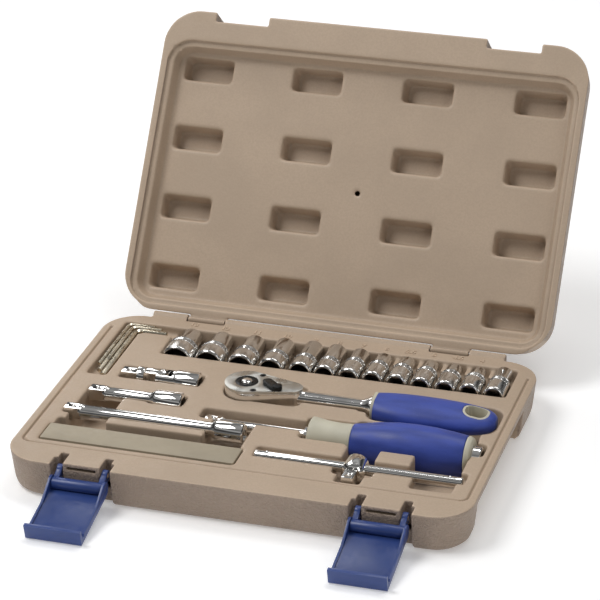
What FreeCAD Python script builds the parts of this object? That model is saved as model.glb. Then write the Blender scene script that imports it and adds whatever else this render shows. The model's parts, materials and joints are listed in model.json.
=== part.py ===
"""Quarter-inch socket wrench set in a blow-moulded case, case open.

Frame: millimetres, +X right, +Y to the hinge, +Z up. The origin is the centre of
the base's underside. The lid is drawn closed and then swung open about the hinge.
"""
import FreeCAD, Part
import math
import os

from FreeCAD import Vector as V

os.makedirs("parts", exist_ok=True)

# ---------------------------------------------------------------- driving sizes
CASE_L = 254.0          # case length, left to right
CASE_W = 178.0          # case width, front to back
RIM = 22.5              # height of the base's rim and tray lands
LID_H = 21.0            # lid depth
RIM_GAP = 0.3           # gap between rims when the lid is shut
CORNER_R = 21.0
SKIN = 1.8              # wall of the blow-moulded shells
HALF_L = CASE_L / 2
HALF_W = CASE_W / 2

HINGE_Y, HINGE_Z = 93.4, 21.2
LID_OPEN = 125.5        # degrees from shut to the open stop
PIN_R = 1.0
BARREL_R = 2.6
KNUCKLE_GAP = 0.4
LID_KNUCKLES = (-72.0, 72.0)
LID_KNUCKLE_L = 22.0
HINGE_SPAN = 104.0      # half length of the hinge barrel

LATCH_X = 81.4          # latch centres, left and right
LATCH_W = 31.0
LINK_PIVOT = (-83.5, 16.6)      # y, z of the link's pivot in the base
LEVER_PIVOT = (-92.0, 13.0)     # y, z of the lever's barrel, latch hanging open
LEVER_L = 36.6                  # barrel centre to the lip's hook
LEVER_HANG = 192.6              # lever direction, degrees from +Y towards +Z
LATCH_FACE = 4.2                # barrel centre to the lever's outer face

DRIVE = 6.35            # quarter-inch square and hex
FIT = 0.12              # clearance across flats in a drive square or hex
CLEAR = 0.3             # gap between a tool and its pocket
PROUD = 4.3             # top of every socket above the rim

# size, centre x, big-end diameter, small-end diameter, length, big-end length
SOCKETS = [
    (13.0, -75.2, 17.9, 12.4, 30.0, 13.5), (12.0, -56.6, 16.8, 12.4, 30.0, 13.5),
    (11.0, -37.5, 15.8, 12.2, 30.0, 13.0), (10.0, -19.7, 14.6, 12.2, 30.0, 13.0),
    (9.0, -2.8, 13.3, 12.0, 30.0, 13.0), (8.0, 11.2, 12.4, 11.6, 29.0, 13.0),
    (7.0, 25.2, 12.2, 10.8, 28.0, 15.5), (6.0, 38.9, 12.0, 9.6, 27.0, 15.5),
    (5.5, 52.6, 12.0, 9.0, 27.0, 15.5), (5.0, 66.4, 12.0, 8.4, 27.0, 15.5),
    (4.5, 80.2, 12.0, 7.8, 27.0, 15.5), (4.0, 94.0, 12.0, 7.2, 27.0, 15.5),
]
SOCKET_FRONT = 48.0     # y of every socket's front face
DRIVE_AT_FRONT = 7.5    # sizes under this lie with the square drive to the front
ADAPTER_X = 107.8

EXT_Z = RIM - 1.8       # axis heights of the lying tools
UJ_Z = RIM - 2.0
UJ_Y = 20.6
EXT50_Y = -4.3
EXT100_Y = -27.6
TBAR_Y, TBAR_Z = -48.7, RIM - 1.5
RAT_Y, RAT_Z = 18.0, RIM - 1.0
SPIN_Y, SPIN_Z = -14.2, RIM - 5.2

HEAD_X = -23.5          # centre of the ratchet's gear
HEAD_R = 12.2
REVERSER_X = -11.0      # pivot of the reversing lever
REVERSER_THROW = 40.0   # degrees each side of the handle's line
GEAR_TEETH = 36
GEAR_R = 7.0


# ---------------------------------------------------------------- shape helpers
def box(x0, x1, y0, y1, z0, z1):
    return Part.makeBox(x1 - x0, y1 - y0, z1 - z0, V(x0, y0, z0))


def rounded_wire(x0, x1, y0, y1, z, r):
    """Rectangle with round corners in a level plane."""
    corners = [(x1 - r, y1 - r, 0), (x0 + r, y1 - r, 90), (x0 + r, y0 + r, 180), (x1 - r, y0 + r, 270)]
    arcs = []
    for cx, cy, start in corners:
        points = []
        for turn in (0, 45, 90):
            a = math.radians(start + turn)
            points.append(V(cx + r * math.cos(a), cy + r * math.sin(a), z))
        arcs.append(Part.Arc(*points).toShape())
    edges = []
    for i, arc in enumerate(arcs):
        following = arcs[(i + 1) % 4]
        edges.append(arc)
        end, start = arc.Vertexes[-1].Point, following.Vertexes[0].Point
        edges.append(Part.LineSegment(end, start).toShape())
    return Part.Wire(edges)


def rbox(x0, x1, y0, y1, z0, z1, r):
    """Block with round corners in plan."""
    face = Part.Face(rounded_wire(x0, x1, y0, y1, z0, r))
    return face.extrude(V(0, 0, z1 - z0))


def drafted(half_l, half_w, levels, r):
    """Rounded block centred on the origin; levels lists (z, inset)."""
    wires = []
    for z, inset in levels:
        x, y = half_l - inset, half_w - inset
        wires.append(rounded_wire(-x, x, -y, y, z, r - inset))
    return Part.makeLoft(wires, True, True)


def rod(r, start, end):
    axis = end - start
    return Part.makeCylinder(r, axis.Length, start, axis)


def prism(sides, flats, start, end, twist=0.0):
    """Regular prism from start to end, measured across flats."""
    axis = end - start
    radius = flats / 2 / math.cos(math.pi / sides)
    points = []
    for i in range(sides + 1):
        a = 2 * math.pi * i / sides + math.radians(twist)
        points.append(V(radius * math.cos(a), radius * math.sin(a), 0))
    solid = Part.Face(Part.makePolygon(points)).extrude(V(0, 0, axis.Length))
    solid.Placement = FreeCAD.Placement(start, FreeCAD.Rotation(V(0, 0, 1), axis))
    return solid


def square_bar(flats, start, end):
    return prism(4, flats, start, end, 45)


def turned(profile, start, axis):
    """Solid of revolution; profile lists (distance along the axis, radius)."""
    points = [V(0, 0, profile[0][0])]
    points += [V(r, 0, t) for t, r in profile]
    points.append(V(0, 0, profile[-1][0]))
    points.append(points[0])
    solid = Part.Face(Part.makePolygon(points)).revolve(V(0, 0, 0), V(0, 0, 1), 360)
    solid.Placement = FreeCAD.Placement(start, FreeCAD.Rotation(V(0, 0, 1), axis))
    return solid


def fuse(shapes):
    shapes = list(shapes)
    return shapes[0].multiFuse(shapes[1:]).removeSplitter()


def save(name, shape):
    """Write one node; the shape has to be valid and hold at least one solid."""
    solids = shape.Solids
    if not solids or not shape.isValid():
        raise ValueError(name)
    shape = solids[0] if len(solids) == 1 else Part.makeCompound(solids)
    shape.exportStep("parts/%s.step" % name)
    print("%-26s %2d solids %9.1f mm3" % (name, len(solids), shape.Volume))


def turn_x(shape, y, z, degrees):
    out = shape.copy()
    out.rotate(V(0, y, z), V(1, 0, 0), degrees)
    return out


# ---------------------------------------------------------------- base shell
SOCKET_FLOOR = 14.4     # floor under the smaller sockets


def tray_pockets():
    """Every pocket of the tray as (x0, x1, y0, y1, floor, corner radius)."""
    pockets = [
        (-116.0, -104.6, 14.0, 79.2, 17.6, 2.0),        # hex keys, long arms
        (-116.0, -83.0, 68.9, 79.2, 17.6, 2.0),         # hex keys, short arms
        (-106.5, -102.6, 67.0, 70.8, 17.6, 1.6),        # room for the elbows
        (-84.6, 114.6, 47.2, 79.2, SOCKET_FLOOR, 1.5),  # socket row
        (-97.6, -50.6, 13.9, 27.9, 13.9, 2.0),          # universal joint
        (-108.3, -85.8, -46.6, 0.6, 5.0, 2.5),          # finger pit
        (-107.4, -52.2, -9.2, 0.8, 16.2, 2.0),          # short extension
        (-72.4, -52.2, -10.6, 2.4, 14.4, 2.0),
        (-113.0, -9.6, -32.2, -22.8, 16.2, 2.0),        # long extension
        (-114.3, -4.8, -64.2, -45.6, 8.4, 2.0),         # bit holder
        (-112.0, -7.2, -50.0, -38.2, 8.4, 2.0),         # bit tips
        (-30.6, -7.2, -46.6, -9.0, 12.8, 2.5),          # hollow under the extension's socket
        (-39.4, 24.0, -18.4, -7.4, 13.4, 2.5),          # spinner shaft
        (18.6, 47.8, -26.0, -2.6, 6.0, 3.0),            # spinner neck
        (45.0, 112.4, -28.6, 0.4, 3.2, 4.0),            # spinner grip
        (109.0, 118.4, -21.4, -7.0, 9.6, 3.0),          # spinner butt
        (84.6, 112.0, -52.0, -24.0, 6.0, 4.0),          # finger dip beside the grip
        (47.8, 65.0, -47.0, -24.0, 11.0, 3.0),          # hollow behind the sliding head
        (1.6, 116.2, -52.0, -40.6, 17.6, 1.5),          # sliding T-bar
        (46.2, 68.2, -58.0, -41.0, 14.0, 3.0),          # sliding head and its travel
        (50.4, 64.0, -66.4, -50.0, 14.0, 1.5),
        (89.6, 112.2, -62.6, -49.0, 8.0, 2.5),          # finger pit by the T-bar
        (-24.0, 9.0, 6.2, 29.8, 13.9, 5.0),             # ratchet head
        (-29.2, -17.8, 12.3, 23.7, 5.0, 1.5),           # ratchet drive square
        (5.0, 52.0, 12.4, 23.6, 15.4, 2.0),             # ratchet neck
        (41.2, 52.0, 10.6, 25.4, 14.6, 2.0),            # flare of the neck
        (46.6, 118.6, 3.2, 32.8, 12.8, 8.0),            # ratchet grip
        (62.0, 112.0, -4.0, 8.0, 12.8, 2.0),            # open side between the grips
    ]
    for size, x, big, small, length, big_l in SOCKETS:
        axis_z = RIM + PROUD - big / 2
        shoulder = SOCKET_FRONT + big_l
        for r, y0, y1 in ((big / 2, 47.2, shoulder + 2.8), (small / 2, shoulder, 79.2)):
            floor = axis_z - r - CLEAR
            if floor < SOCKET_FLOOR:
                half = r + CLEAR + 0.2
                pockets.append((x - half, x + half, y0, y1, floor, 1.2))
    return pockets


def pocket_solids(grow):
    """The pockets, or with grow > 0 the pockets with their walls round them."""
    top = RIM + 1.0
    solids = []
    for x0, x1, y0, y1, floor, r in tray_pockets():
        solids.append(rbox(x0 - grow, x1 + grow, y0 - grow, y1 + grow, floor - grow, top, r + grow))
    head_floor = 13.9 - grow
    head = Part.makeCylinder(HEAD_R + 0.7 + grow, top - head_floor, V(HEAD_X, RAT_Y, head_floor))
    solids.append(head)
    return solids


RECESS_D = 8.4          # depth of a latch recess in the front wall
SLOT_X, SLOT_W = 12.5, 4.4
SIDE_IN = 8.0           # depth of the grip recess along each side
VENTS = [(-40.0, 38.0), (40.0, 38.0)]           # blow holes in the underside
SOCKET_RIBS = (45.8, 59.5, 73.3, 87.1, 100.6)   # between the smaller sockets


def latch_cuts(xc, grow):
    """Front recess and the two slots that let the link's arms swing."""
    x_in = LATCH_W / 2 + 1.1 + grow
    y_back = -HALF_W + RECESS_D + grow
    cuts = [box(xc - x_in, xc + x_in, -HALF_W - 1, y_back, -1, 13.0 + grow)]
    for side in (-1, 1):
        x = xc + side * SLOT_X
        half = SLOT_W / 2 + grow
        cuts.append(box(x - half, x + half, -HALF_W - 1, -75.8 + grow, 8.0, RIM + 1))
    for side in (-1, 1):
        outer = xc + side * x_in
        inner = xc + side * (SLOT_X - SLOT_W / 2 + grow * 0.5)
        cuts.append(box(min(outer, inner), max(outer, inner), -HALF_W - 1, y_back, 8.0, RIM + 1))
    land = SLOT_X + grow
    cuts.append(box(xc - land, xc + land, -HALF_W - 1, -HALF_W + 2.2, 8.0, RIM + 1))
    return cuts


def side_cuts(grow):
    cuts = []
    for side in (-1, 1):
        outer = side * (HALF_L + 1)
        inner = side * (HALF_L - SIDE_IN - grow)
        x0, x1 = min(outer, inner), max(outer, inner)
        cuts.append(box(x0, x1, -62 - grow, 42 + grow, -1, 18.4 + grow))
    return cuts


def rim_groove():
    """Shallow groove round three sides of the tray."""
    gx, gy, depth, half = 122.0, -68.5, 1.3, 0.6
    outer = rbox(-gx - half, gx + half, gy - half, 100, RIM - depth, RIM + 1, 5.5)
    inner = rbox(-gx + half, gx - half, gy + half, 102, RIM - depth - 1, RIM + 2, 4.5)
    ring = outer.cut(inner)
    return ring.common(box(-130, 130, -80, 72, 0, 40))


def hinge_blocks():
    """Ledge behind the base with the base's share of the hinge barrel."""
    back = HINGE_Y + 3.0
    ledge = box(-HINGE_SPAN, HINGE_SPAN, HALF_W - 1, back, 9.0, 17.8)
    edges = [-HINGE_SPAN]
    for x in LID_KNUCKLES:
        half = LID_KNUCKLE_L / 2 + KNUCKLE_GAP
        edges += [x - half, x + half]
    edges.append(HINGE_SPAN)
    solids = [ledge]
    for x0, x1 in zip(edges[0::2], edges[1::2]):
        solids.append(box(x0, x1, HALF_W - 1, back, 17.0, RIM))
        solids.append(rod(BARREL_R, V(x0, HINGE_Y, HINGE_Z), V(x1, HINGE_Y, HINGE_Z)))
    return solids


def base_shell():
    outer = drafted(HALF_L, HALF_W, [(0, 5.4), (2.2, 3.0), (5.5, 2.0), (RIM, 0)], CORNER_R)
    body = fuse([outer] + hinge_blocks())
    cuts = pocket_solids(0) + side_cuts(0)
    for side in (-1, 1):
        cuts += latch_cuts(side * LATCH_X, 0)
    cuts.append(rim_groove())
    cuts.append(rod(PIN_R + 0.05, V(-HINGE_SPAN - 1, HINGE_Y, HINGE_Z), V(HINGE_SPAN + 1, HINGE_Y, HINGE_Z)))
    body = body.cut(fuse(cuts))
    hollow = drafted(HALF_L, HALF_W, [(SKIN, 5.4 + SKIN), (RIM - SKIN, 0.4 + SKIN)], CORNER_R)
    keep = pocket_solids(SKIN) + side_cuts(SKIN)
    for side in (-1, 1):
        keep += latch_cuts(side * LATCH_X, SKIN)
    hollow = hollow.cut(fuse(keep))
    rooms = [s for s in hollow.Solids if s.Volume > 400]
    vents = [rod(1.2, V(x, y, -1), V(x, y, SKIN + 0.5)) for x, y in VENTS]
    body = body.cut(Part.makeCompound(rooms + vents))
    bars = [box(x - 1.5, x + 1.5, 71.0, 79.4, SOCKET_FLOOR - 0.5, RIM - 2.0) for x in SOCKET_RIBS]
    for side in (-1, 1):
        x = side * LATCH_X
        y, z = LINK_PIVOT
        bars.append(rod(1.6, V(x - 14.1, y, z), V(x + 14.1, y, z)))
    return fuse([max(body.Solids, key=lambda s: s.Volume)] + bars)


# ---------------------------------------------------------------- lid shell
LID_Z = RIM + RIM_GAP           # rim plane of the shut lid
PANEL_UP = 9.2                  # inner panel above the lid's rim
LEDGE_UP, LEDGE_W = 2.2, 3.2    # step inside the rim: its height and width
RECESS_X, RECESS_Y = 123.2, (-71.2, 86.2)
WELL_X = (-99.65, -33.2, 33.2, 99.65)
WELL_Y = (-56.0, -14.5, 27.0, 68.5)
WELL_L, WELL_W, WELL_D = 30.0, 14.3, 9.6


def lid_recess(grow):
    """The lid's hollow side: a shallow step inside the rim, then a drafted panel recess."""
    steps = []
    for levels in (((-1.0, 0.0), (LEDGE_UP, 0.4)), ((LEDGE_UP - 0.5, LEDGE_W), (PANEL_UP, LEDGE_W + 2.6))):
        wires = []
        for up, inset in levels:
            x = RECESS_X - inset + grow
            y0, y1 = RECESS_Y[0] + inset - grow, RECESS_Y[1] - inset + grow
            z = LID_Z + up + (grow if up > 0 else 0)
            wires.append(rounded_wire(-x, x, y0, y1, z, 14.0 - inset + grow))
        steps.append(Part.makeLoft(wires, True, True))
    return steps


def lid_shut():
    top = LID_Z + LID_H
    levels = [(LID_Z, 0.0), (top - 5.0, 1.6), (top - 2.0, 2.8), (top, 5.4)]
    outer = drafted(HALF_L, HALF_W, levels, CORNER_R)
    cuts = lid_recess(0)
    keep = lid_recess(SKIN)
    panel = LID_Z + PANEL_UP
    for x in WELL_X:
        for y in WELL_Y:
            for grow, bucket in ((0, cuts), (SKIN, keep)):
                levels = []
                for up, inset in ((-0.5, 0), (WELL_D, 1.6)):
                    l, w = WELL_L / 2 - inset + grow, WELL_W / 2 - inset + grow
                    levels.append(rounded_wire(x - l, x + l, y - w, y + w, panel + up, 2.2 + grow))
                bucket.append(Part.makeLoft(levels, True, True))
    for side in (-1, 1):
        x = side * LATCH_X
        half = LATCH_W / 2 + 0.5
        cuts.append(box(x - half, x + half, -HALF_W - 1, -HALF_W + 5.5, LID_Z - 1, top + 1))
        half += SKIN
        keep.append(box(x - half, x + half, -HALF_W - 1, -HALF_W + 5.5 + SKIN, LID_Z - 1, top + 1))
    cuts.append(rod(1.5, V(1.2, 7.3, panel - 1), V(1.2, 7.3, panel + SKIN + 1.5)))
    low, high = LID_Z + SKIN, top - SKIN
    levels = [(low, SKIN + 0.2), (high - 3.0, SKIN + 2.6), (high, 5.4 + SKIN)]
    hollow = drafted(HALF_L, HALF_W, levels, CORNER_R)
    hollow = hollow.cut(fuse(keep))
    rooms = [s for s in hollow.Solids if s.Volume > 400]
    body = outer.cut(fuse(cuts)).cut(Part.makeCompound(rooms))
    body = max(body.Solids, key=lambda s: s.Volume)
    arms = []
    for x in LID_KNUCKLES:
        x0, x1 = x - LID_KNUCKLE_L / 2, x + LID_KNUCKLE_L / 2
        arms.append(rod(BARREL_R, V(x0, HINGE_Y, HINGE_Z), V(x1, HINGE_Y, HINGE_Z)))
        arms.append(box(x0, x1, HALF_W - 1.4, HINGE_Y, LID_Z + 0.1, LID_Z + 2.6))
    bore = rod(PIN_R + 0.05, V(-HINGE_SPAN, HINGE_Y, HINGE_Z), V(HINGE_SPAN, HINGE_Y, HINGE_Z))
    arms = fuse(arms).cut(bore)
    return fuse([body, arms])


def hinge_pin():
    end = HINGE_SPAN - 0.5
    return rod(PIN_R, V(-end, HINGE_Y, HINGE_Z), V(end, HINGE_Y, HINGE_Z))


# ---------------------------------------------------------------- latches
def latch_link(xc):
    """Two arms on the base's bar, joined by the lever's barrel."""
    y0, z0 = LINK_PIVOT
    y1, z1 = LEVER_PIVOT
    along = V(0, y1 - y0, z1 - z0)
    reach = along.Length
    along.normalize()
    across = V(0, -along.z, along.y)
    arms = []
    for side in (-1, 1):
        x = xc + side * SLOT_X
        hub = rod(3.0, V(x - 1.5, y0, z0), V(x + 1.5, y0, z0))
        points = []
        for t, s in ((0, -2.4), (reach, -2.0), (reach, 2.0), (0, 2.4)):
            points.append(V(x - 1.5, y0, z0) + along * t + across * s)
        points.append(points[0])
        plate = Part.Face(Part.makePolygon(points)).extrude(V(3.0, 0, 0))
        arms += [hub, plate]
    barrel = rod(3.3, V(xc - 14.0, y1, z1), V(xc + 14.0, y1, z1))
    body = fuse(arms + [barrel])
    bar = rod(1.6 + 0.08, V(xc - 20, y0, z0), V(xc + 20, y0, z0))
    pin = rod(1.3, V(xc - 15.4, y1, z1), V(xc + 15.4, y1, z1))
    return fuse([body.cut(bar), pin])


def latch_lever(xc):
    """Hooked plate with side cheeks, drawn upright and then swung to hang."""
    y, z = LEVER_PIVOT
    x0, x1 = xc - LATCH_W / 2, xc + LATCH_W / 2
    lip_z = z + LEVER_L
    front = y - LATCH_FACE
    plate = box(x0, x1, front, front + 2.4, z + 3.3, lip_z + 2.2)
    lip = box(x0, x1, front, y + LATCH_FACE, lip_z, lip_z + 2.2)
    shoulder = rod(LATCH_FACE, V(x0, y, z), V(x1, y, z)).cut(rod(3.55, V(x0 - 1, y, z), V(x1 + 1, y, z)))
    shoulder = shoulder.common(box(x0, x1, front - 1, y - 1.8, z - 5.0, z + 5.0))
    parts = [plate, lip, shoulder]
    for cheek in (x0, x1 - 1.3):
        parts.append(rod(LATCH_FACE, V(cheek, y, z), V(cheek + 1.3, y, z)))
        outline = [(-LATCH_FACE, 0), (-LATCH_FACE, LEVER_L), (-0.8, LEVER_L - 3.0), (-0.8, 15.0), (4.0, 1.0)]
        points = [V(cheek, y + dy, z + dz) for dy, dz in outline]
        points.append(points[0])
        parts.append(Part.Face(Part.makePolygon(points)).extrude(V(1.3, 0, 0)))
    body = fuse(parts).cut(rod(1.3 + 0.06, V(x0 - 1, y, z), V(x1 + 1, y, z)))
    return turn_x(body, y, z, LEVER_HANG - 90.0)


# ---------------------------------------------------------------- sockets
def socket_wrench(item):
    size, x, big, small, length, big_l = item
    big_r, small_r = max(big, small) / 2, min(big, small) / 2
    z = RIM + PROUD - big_r
    start = V(x, SOCKET_FRONT, z)
    profile = [(0, big_r - 0.9), (0.9, big_r), (big_l, big_r), (big_l + 0.4, big_r - 0.25)]
    profile += [(big_l + 1.4, big_r - 0.25), (big_l + 2.4, small_r)]
    profile += [(length - 0.6, small_r), (length, small_r - 0.6)]
    body = turned(profile, start, V(0, 1, 0))
    drive_front = size < DRIVE_AT_FRONT
    front, back = V(x, SOCKET_FRONT - 1, z), V(x, SOCKET_FRONT + length + 1, z)
    drive_d = 10.5
    hex_d = length - drive_d - 4.5
    if drive_front:
        drive = square_bar(DRIVE + FIT, front, V(x, SOCKET_FRONT + drive_d, z))
        hexagon = prism(6, size + 0.1, V(x, SOCKET_FRONT + length - hex_d, z), back)
    else:
        drive = square_bar(DRIVE + FIT, V(x, SOCKET_FRONT + length - drive_d, z), back)
        hexagon = prism(6, size + 0.1, front, V(x, SOCKET_FRONT + hex_d, z))
    through = rod(min(size, DRIVE) / 2 - 0.4, front, back)
    return body.cut(fuse([drive, hexagon, through]))


def bit_adapter():
    r = 6.0
    z = RIM + PROUD - r
    start = V(ADAPTER_X, SOCKET_FRONT, z)
    profile = [(0, r - 0.7), (0.7, r), (15.0, r), (16.0, 5.1), (27.4, 5.1), (28.0, 4.5)]
    body = turned(profile, start, V(0, 1, 0))
    hexagon = prism(6, DRIVE + FIT, V(ADAPTER_X, SOCKET_FRONT + 17, z), V(ADAPTER_X, SOCKET_FRONT + 29, z))
    drive = square_bar(DRIVE + FIT, V(ADAPTER_X, SOCKET_FRONT - 1, z), V(ADAPTER_X, SOCKET_FRONT + 10, z))
    seat = rod(1.1, V(ADAPTER_X, SOCKET_FRONT + 23, z + 3.4), V(ADAPTER_X, SOCKET_FRONT + 23, z + 8))
    return body.cut(fuse([hexagon, drive, seat]))


def bit_adapter_ball():
    z = RIM + PROUD - 6.0
    return Part.makeSphere(1.05, V(ADAPTER_X, SOCKET_FRONT + 23, z + 4.5))


# ---------------------------------------------------------------- drive tools
BALL_R = 1.0


def ball_seat(centre, out):
    """Drilled seat for a detent ball, opening along out."""
    return rod(BALL_R + 0.05, centre - out * 1.4, centre + out * 3)


def extension(x_tip, length, y):
    """Square drive at the left, female socket at the right."""
    start = V(x_tip, y, EXT_Z)
    tang = square_bar(DRIVE, start, start + V(9.5, 0, 0))
    profile = [(8.0, 4.0), (9.5, 4.4), (11.5, 3.9), (length - 18.5, 3.9)]
    profile += [(length - 15.0, 5.8), (length - 0.7, 5.8), (length, 5.1)]
    shaft = turned(profile, start, V(1, 0, 0))
    end = V(x_tip + length, y, EXT_Z)
    bore = square_bar(DRIVE + FIT, end - V(10, 0, 0), end + V(1, 0, 0))
    seat = ball_seat(start + V(4.6, 0, DRIVE / 2 - 0.45), V(0, 0, 1))
    return fuse([tang, shaft]).cut(fuse([bore, seat]))


def detent_ball(x, y, z):
    return Part.makeSphere(BALL_R, V(x, y, z))


UJ_LEFT, UJ_RIGHT, UJ_CROSS = -96.8, -51.5, -73.4


def fork_ears(x0, x1, r, gap, upright):
    """Two ears of a fork as slices of a round bar; upright ears stand apart in Z."""
    bar = rod(r, V(x0, UJ_Y, UJ_Z), V(x1, UJ_Y, UJ_Z))
    half = gap / 2
    if upright:
        slot = box(x0 - 1, x1 + 1, UJ_Y - 10, UJ_Y + 10, UJ_Z - half, UJ_Z + half)
    else:
        slot = box(x0 - 1, x1 + 1, UJ_Y - half, UJ_Y + half, UJ_Z - 10, UJ_Z + 10)
    return bar.cut(slot)


def uj_socket_fork():
    """Female end; its ears stand apart in Y so the joint bends upwards."""
    end = V(UJ_RIGHT, UJ_Y, UJ_Z)
    profile = [(0, 5.6), (0.7, 6.2), (12.8, 6.2), (14.6, 5.6), (15.2, 5.6)]
    body = turned(profile, end, V(-1, 0, 0))
    ears = fork_ears(UJ_CROSS - 2.6, UJ_RIGHT - 15.0, 5.6, 7.4, False)
    bore = square_bar(DRIVE + FIT, end - V(10, 0, 0), end + V(1, 0, 0))
    pin = rod(1.05 + 0.05, V(UJ_CROSS, UJ_Y - 8, UJ_Z), V(UJ_CROSS, UJ_Y + 8, UJ_Z))
    relief = rod(4.6, V(UJ_CROSS, UJ_Y - 3.7, UJ_Z), V(UJ_CROSS, UJ_Y + 3.7, UJ_Z))
    return fuse([body, ears]).cut(fuse([bore, pin, relief]))


def uj_drive_fork():
    """Male end; its ears stand apart in Z."""
    start = V(UJ_LEFT, UJ_Y, UJ_Z)
    tang = square_bar(DRIVE, start, start + V(9.5, 0, 0))
    profile = [(8.6, 4.4), (9.6, 5.6), (13.6, 5.6)]
    body = turned(profile, start, V(1, 0, 0))
    ears = fork_ears(UJ_LEFT + 13.0, UJ_CROSS + 2.4, 5.6, 7.4, True)
    narrow = box(UJ_LEFT + 14.6, UJ_CROSS + 4, UJ_Y - 3.3, UJ_Y + 3.3, UJ_Z - 7, UJ_Z + 7)
    ears = ears.common(narrow)
    joint = box(UJ_LEFT + 12.5, UJ_LEFT + 16.6, UJ_Y - 3.3, UJ_Y + 3.3, UJ_Z - 4.4, UJ_Z + 4.4)
    pin = rod(1.05 + 0.05, V(UJ_CROSS, UJ_Y, UJ_Z - 8), V(UJ_CROSS, UJ_Y, UJ_Z + 8))
    seat = ball_seat(start + V(4.6, 0, DRIVE / 2 - 0.45), V(0, 0, 1))
    return fuse([tang, body, ears, joint]).cut(fuse([pin, seat]))


def uj_cross_block():
    half = 3.2
    block = box(UJ_CROSS - half, UJ_CROSS + half, UJ_Y - half, UJ_Y + half, UJ_Z - half, UJ_Z + half)
    pins = [rod(1.05, V(UJ_CROSS, UJ_Y - 5.4, UJ_Z), V(UJ_CROSS, UJ_Y + 5.4, UJ_Z))]
    pins.append(rod(1.05, V(UJ_CROSS, UJ_Y, UJ_Z - 5.4), V(UJ_CROSS, UJ_Y, UJ_Z + 5.4)))
    return fuse([block] + pins)


# ---------------------------------------------------------------- sliding T-bar
TBAR_X0, TBAR_X1, TBAR_HEAD_X = 2.2, 115.2, 57.2


def tbar_rod():
    r = 3.0
    start = V(TBAR_X0, TBAR_Y, TBAR_Z)
    length = TBAR_X1 - TBAR_X0
    body = turned([(0, r - 0.5), (0.5, r), (length - 0.5, r), (length, r - 0.5)], start, V(1, 0, 0))
    seats = [ball_seat(V(x, TBAR_Y, TBAR_Z + r - 0.5), V(0, 0, 1)) for x in (TBAR_X0 + 6.8, TBAR_X1 - 6.8)]
    return body.cut(fuse(seats))


def tbar_rod_balls():
    return Part.makeCompound([detent_ball(x, TBAR_Y, TBAR_Z + 2.5) for x in (TBAR_X0 + 6.8, TBAR_X1 - 6.8)])


def tbar_sliding_head():
    back = V(TBAR_HEAD_X, TBAR_Y + 5.6, TBAR_Z)
    profile = [(0, 5.4), (0.9, 6.4), (10.6, 6.4), (11.6, 5.6), (12.4, 4.6)]
    body = turned(profile, back, V(0, -1, 0))
    tang = square_bar(DRIVE, back + V(0, -12.0, 0), back + V(0, -21.6, 0))
    hole = rod(3.08, V(TBAR_HEAD_X - 9, TBAR_Y, TBAR_Z), V(TBAR_HEAD_X + 9, TBAR_Y, TBAR_Z))
    seat = ball_seat(V(TBAR_HEAD_X, TBAR_Y - 11.6, TBAR_Z + DRIVE / 2 - 0.45), V(0, 0, 1))
    return fuse([body, tang]).cut(fuse([hole, seat]))


# ---------------------------------------------------------------- ratchet
PLATE_TOP = RAT_Z + 6.0         # top of the ratchet's cover plate
PLATE_T = 1.6
HEAD_BOTTOM = RAT_Z - 6.0


def head_outline(inset, z0, z1):
    """Pear outline: gear circle run into the narrower neck end."""
    r0, r1, x1 = HEAD_R - inset, 5.4 - inset, 3.0
    dx = x1 - HEAD_X
    tilt = math.asin((r0 - r1) / dx)
    c, s = math.cos(tilt), math.sin(tilt)
    top0, top1 = V(HEAD_X + r0 * s, RAT_Y + r0 * c, z0), V(x1 + r1 * s, RAT_Y + r1 * c, z0)
    low0, low1 = V(HEAD_X + r0 * s, RAT_Y - r0 * c, z0), V(x1 + r1 * s, RAT_Y - r1 * c, z0)
    edges = [
        Part.LineSegment(top0, top1).toShape(),
        Part.Arc(top1, V(x1 + r1, RAT_Y, z0), low1).toShape(),
        Part.LineSegment(low1, low0).toShape(),
        Part.Arc(low0, V(HEAD_X - r0, RAT_Y, z0), top0).toShape(),
    ]
    return Part.Face(Part.Wire(edges)).extrude(V(0, 0, z1 - z0))


SCREW_X = HEAD_X + 6.4
SCREW_DY = 9.0


def ratchet_head():
    """Forged head and neck with a tang that runs inside the handle."""
    plate_z = PLATE_TOP - PLATE_T
    head = head_outline(0, HEAD_BOTTOM, plate_z)
    neck = turned([(0, 5.0), (6, 4.2), (40, 3.7), (44, 3.7), (78, 3.2)], V(2, RAT_Y, RAT_Z), V(1, 0, 0))
    flare = turned([(0, 3.6), (5.6, 6.4), (6.4, 6.4)], V(42, RAT_Y, RAT_Z), V(1, 0, 0))
    cuts = [
        rod(GEAR_R + 0.35, V(HEAD_X, RAT_Y, HEAD_BOTTOM + 2), V(HEAD_X, RAT_Y, plate_z + 1)),
        rod(5.2, V(HEAD_X, RAT_Y, HEAD_BOTTOM - 1), V(HEAD_X, RAT_Y, HEAD_BOTTOM + 3)),
        box(HEAD_X + 5.0, REVERSER_X, RAT_Y - 3.2, RAT_Y + 3.2, HEAD_BOTTOM + 2, plate_z + 1),
        rod(3.3, V(REVERSER_X, RAT_Y, HEAD_BOTTOM + 2), V(REVERSER_X, RAT_Y, plate_z + 1)),
    ]
    for side in (-1, 1):
        spot = V(SCREW_X, RAT_Y + side * SCREW_DY, plate_z - 3.4)
        cuts.append(rod(0.9, spot, spot + V(0, 0, 5)))
    cuts.append(head_outline(0, plate_z, PLATE_TOP + 1))
    return fuse([head, neck, flare]).cut(fuse(cuts))


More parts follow.
